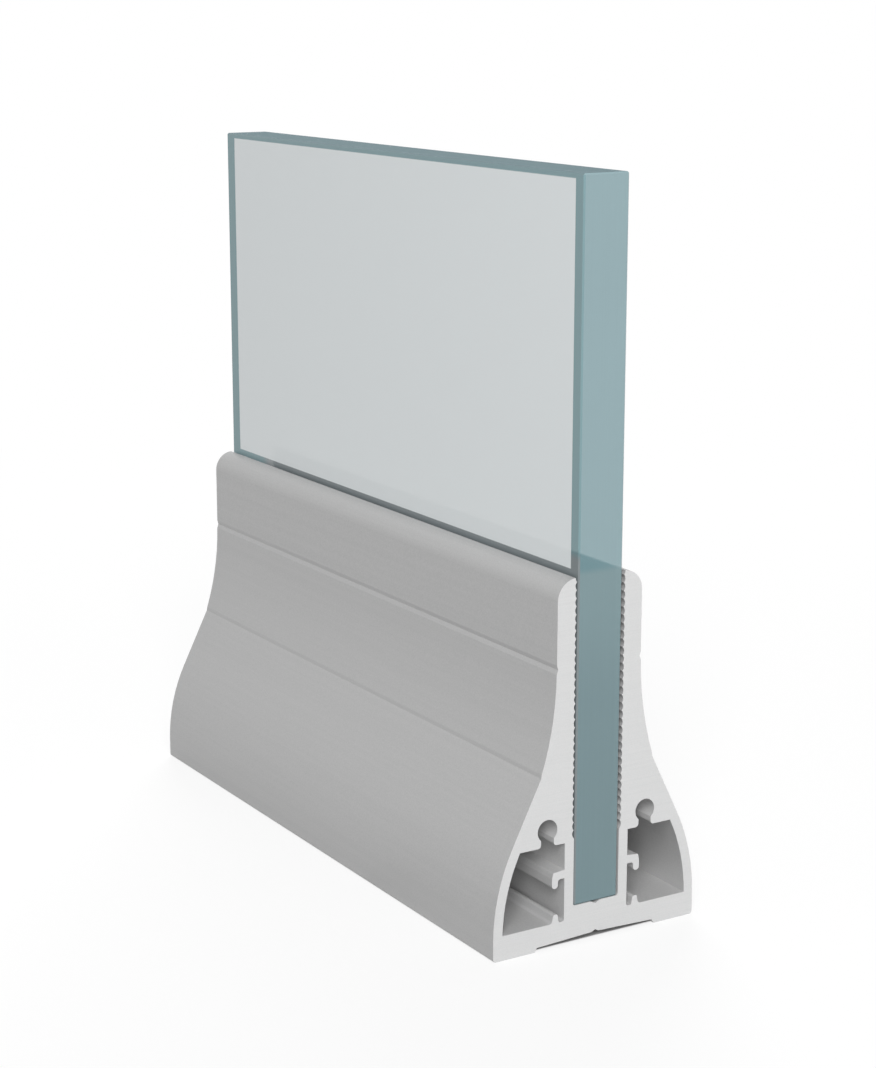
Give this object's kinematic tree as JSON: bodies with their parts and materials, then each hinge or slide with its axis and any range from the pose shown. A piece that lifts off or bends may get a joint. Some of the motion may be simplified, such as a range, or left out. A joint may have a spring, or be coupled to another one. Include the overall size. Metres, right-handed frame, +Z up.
{
  "type": "glass railing base profile",
  "caption": "Extruded aluminium floor channel for a frameless glass railing: grooved walls, hollow side chambers, screw ports and flat feet, with a glass pane standing in it.",
  "frame": {"origin": "middle of the length and width, at the bottom of the feet", "axes": "+Z up along the glass, +Y along the profile away from the end that faces the viewer, +X to the right"},
  "size_m": [0.082, 0.25, 0.2569],
  "materials": {
    "anodised_aluminium": "satin anodised, with sawn bright ends",
    "tinted_glass": "clear polished, with a grey-green tint in its edges"
  },
  "bodies": {
    "root": {"base_profile": "anodised_aluminium", "glass_panel": "tinted_glass"}
  },
  "joints": []
}
